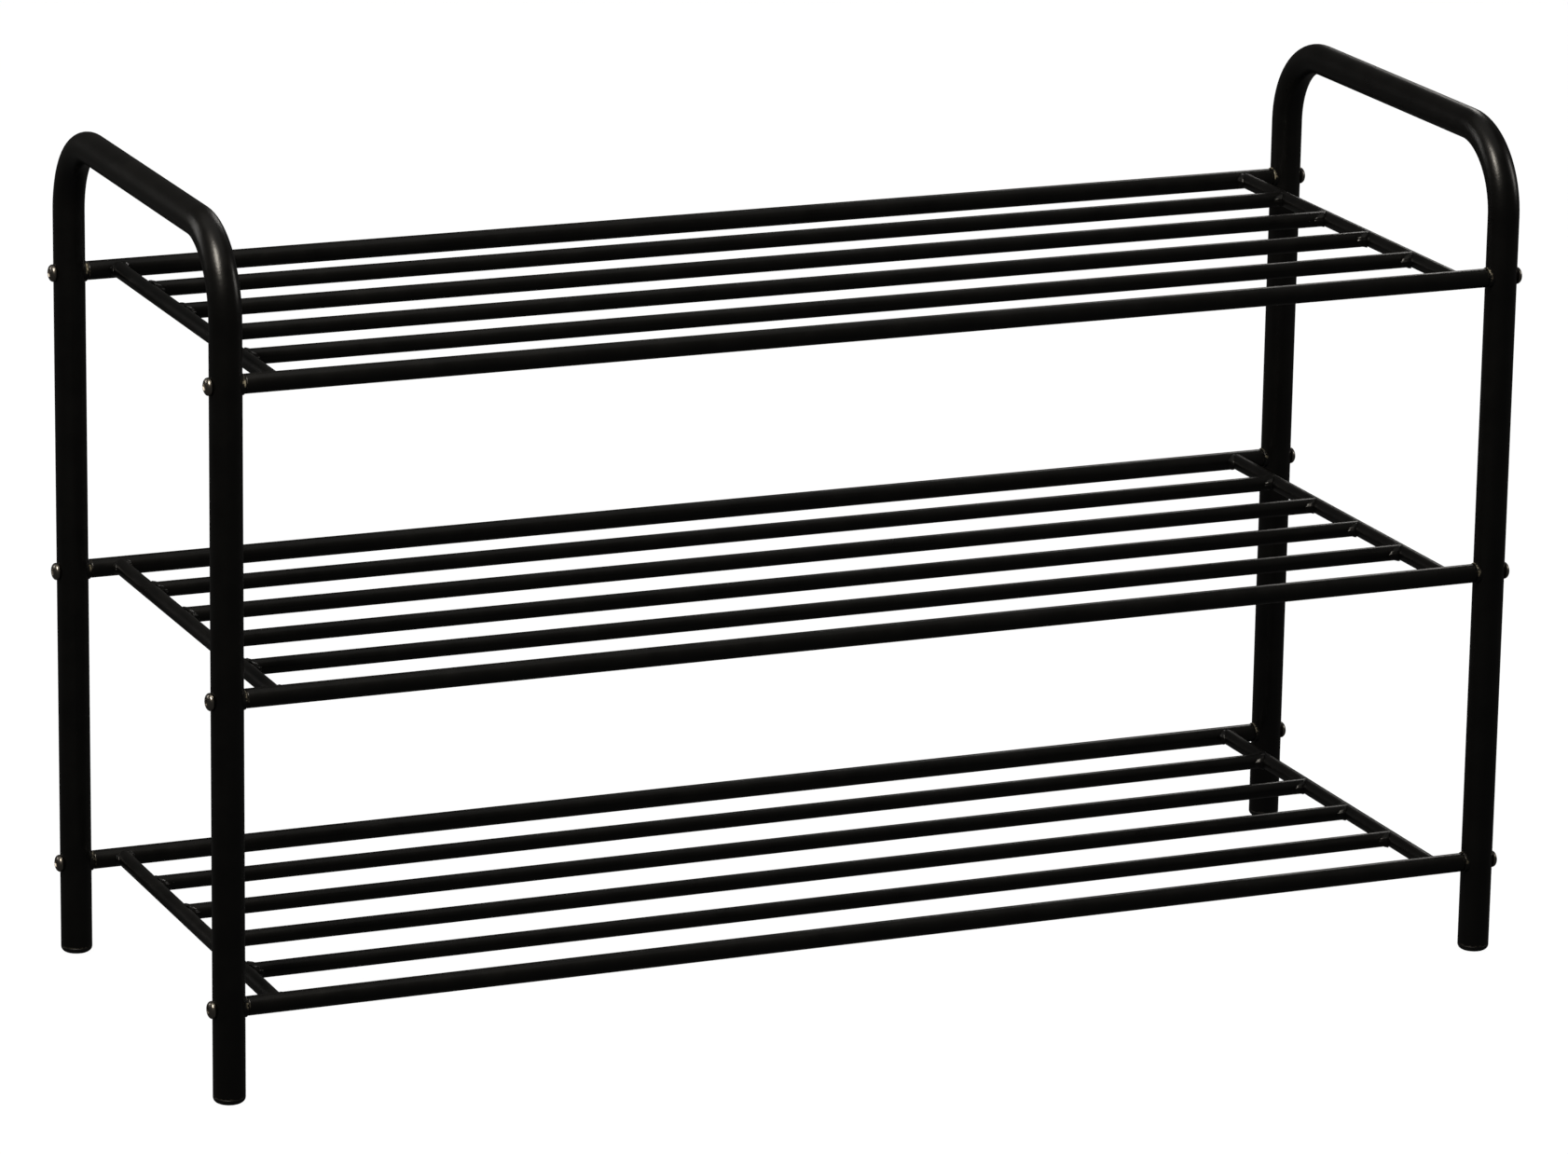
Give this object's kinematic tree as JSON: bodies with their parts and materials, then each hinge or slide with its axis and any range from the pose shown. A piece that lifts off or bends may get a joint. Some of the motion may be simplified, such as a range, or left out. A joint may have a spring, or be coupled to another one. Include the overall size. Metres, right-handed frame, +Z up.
{
  "type": "tiered shoe rack",
  "caption": "Low open shoe rack: stacked shelves of thin parallel metal tubes, bolted between end frames that are each one tube bent into an upside-down U.",
  "frame": {"origin": "on the floor, midway between the four feet", "axes": "+X along the length of the rack to its right end, +Y from front to back, +Z up"},
  "size_m": [0.8716, 0.325, 0.544],
  "materials": {
    "black_powder_coat": "satin black powder coat with a fine orange peel",
    "black_plastic": "matt black moulded plastic",
    "black_nylon": "smooth black moulded nylon",
    "dark_bolt_steel": "dark nickel plate, worn bright round the socket",
    "zinc_insert_steel": "clear zinc plate"
  },
  "bodies": {
    "root": {"left_end_frame": "black_powder_coat", "front_left_foot_plug": "black_plastic", "rear_left_foot_plug": "black_plastic", "right_end_frame": "black_powder_coat", "front_right_foot_plug": "black_plastic", "rear_right_foot_plug": "black_plastic", "lower_front_rail": "black_powder_coat", "lower_rear_rail": "black_powder_coat", "lower_left_crossbar": "black_powder_coat", "lower_right_crossbar": "black_powder_coat", "lower_slat_1": "black_powder_coat", "lower_slat_2": "black_powder_coat", "lower_slat_3": "black_powder_coat", "lower_slat_4": "black_powder_coat", "lower_saddle_spacers": "black_nylon", "lower_rail_inserts": "zinc_insert_steel", "lower_bolts": "dark_bolt_steel", "middle_front_rail": "black_powder_coat", "middle_rear_rail": "black_powder_coat", "middle_left_crossbar": "black_powder_coat", "middle_right_crossbar": "black_powder_coat", "middle_slat_1": "black_powder_coat", "middle_slat_2": "black_powder_coat", "middle_slat_3": "black_powder_coat", "middle_slat_4": "black_powder_coat", "middle_saddle_spacers": "black_nylon", "middle_rail_inserts": "zinc_insert_steel", "middle_bolts": "dark_bolt_steel", "upper_front_rail": "black_powder_coat", "upper_rear_rail": "black_powder_coat", "upper_left_crossbar": "black_powder_coat", "upper_right_crossbar": "black_powder_coat", "upper_slat_1": "black_powder_coat", "upper_slat_2": "black_powder_coat", "upper_slat_3": "black_powder_coat", "upper_slat_4": "black_powder_coat", "upper_saddle_spacers": "black_nylon", "upper_rail_inserts": "zinc_insert_steel", "upper_bolts": "dark_bolt_steel"}
  },
  "joints": []
}
